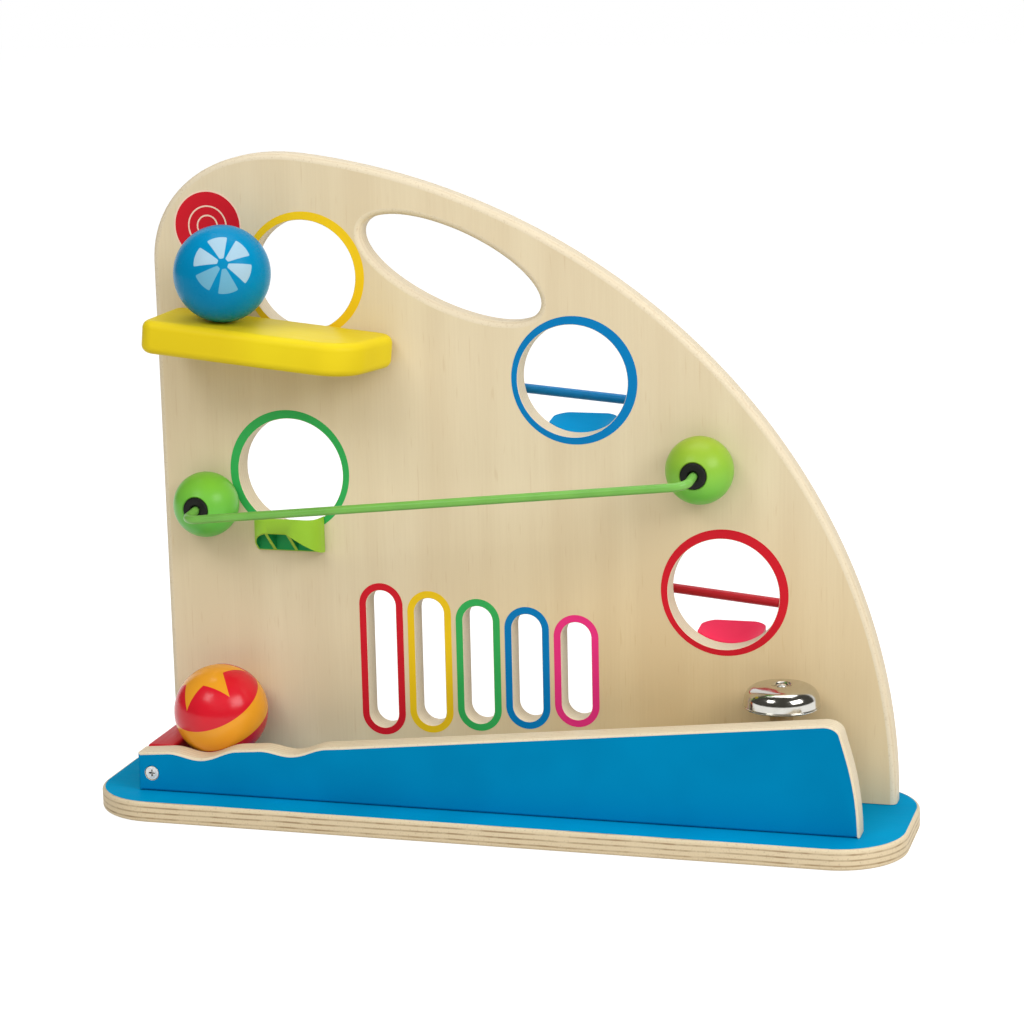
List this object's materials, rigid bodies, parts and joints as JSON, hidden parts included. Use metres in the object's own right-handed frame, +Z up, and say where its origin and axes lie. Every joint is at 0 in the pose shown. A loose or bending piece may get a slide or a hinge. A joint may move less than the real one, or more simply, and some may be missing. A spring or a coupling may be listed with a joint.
{
  "type": "wooden marble run",
  "caption": "Wooden marble run toy: upright panel on a base board, with ball holes, wire rails, scoops, a sloping fence track and a bell, down which painted balls roll from a start shelf.",
  "frame": {"origin": "middle of the base board's underside, where the toy stands", "axes": "+X along the base towards the bell, +Y towards the back, +Z up"},
  "size_m": [0.396, 0.1246, 0.3145],
  "materials": {
    "birch_plywood": "clear satin lacquer",
    "blue_paint": "satin paint on plywood",
    "yellow_paint": "satin paint",
    "red_paint": "gloss paint",
    "green_paint": "gloss paint",
    "blue_ball_paint": "gloss paint",
    "blue_enamel_wire": "enamel",
    "red_enamel_wire": "enamel",
    "green_enamel_wire": "enamel",
    "green_plastic": "moulded",
    "blue_plastic": "moulded",
    "red_plastic": "moulded",
    "black_rubber": "matt",
    "chrome": "plated",
    "zinc": "zinc plated",
    "beech": "bare",
    "felt": "pressed felt"
  },
  "bodies": {
    "stand": {"base_board": "blue_paint", "upright_panel": "birch_plywood", "front_fence": "blue_paint", "end_stop": "red_paint", "start_shelf": "yellow_paint", "shelf_dowel_left": "beech", "shelf_dowel_right": "beech", "green_wire": "green_enamel_wire", "green_scoop": "green_plastic", "green_knob_left": "green_paint", "green_knob_right": "green_paint", "green_bush_left": "black_rubber", "green_bush_right": "black_rubber", "green_dowel_left": "beech", "green_dowel_right": "beech", "blue_wire": "blue_enamel_wire", "blue_scoop": "blue_plastic", "blue_knob_left": "blue_paint", "blue_knob_right": "blue_paint", "blue_bush_left": "black_rubber", "blue_bush_right": "black_rubber", "blue_dowel_left": "beech", "blue_dowel_right": "beech", "red_wire": "red_enamel_wire", "red_scoop": "red_plastic", "red_knob_left": "red_paint", "red_knob_right": "red_paint", "red_bush_left": "black_rubber", "red_bush_right": "black_rubber", "red_dowel_left": "beech", "red_dowel_right": "beech", "bell_post": "beech", "bell_washer": "felt", "bell_screw": "zinc", "bell_post_screw": "zinc", "fence_screw": "zinc", "panel_screw_1": "zinc", "panel_screw_2": "zinc", "panel_screw_3": "zinc", "fence_foot_screw_1": "zinc", "fence_foot_screw_2": "zinc", "fence_foot_screw_3": "zinc", "stop_screw": "zinc"},
    "blue_ball": {"blue_ball": "blue_ball_paint"},
    "red_ball": {"red_ball": "red_paint"},
    "bell": {"bell_dome": "chrome"}
  },
  "joints": [
    {"name": "blue_ball_roll", "type": "slide", "parent": "stand", "child": "blue_ball", "axis": [0.9949, 0, -0.1011], "range_m": [-0.018, 0.033]},
    {"name": "red_ball_lift", "type": "slide", "parent": "stand", "child": "red_ball", "axis": [0, 0, 1], "range_m": [0, 0.06]},
    {"name": "bell_turn", "type": "hinge", "parent": "stand", "child": "bell", "pos_m": [0.136, 0, 0.0615], "axis": [0, 0, 1], "continuous": true}
  ]
}
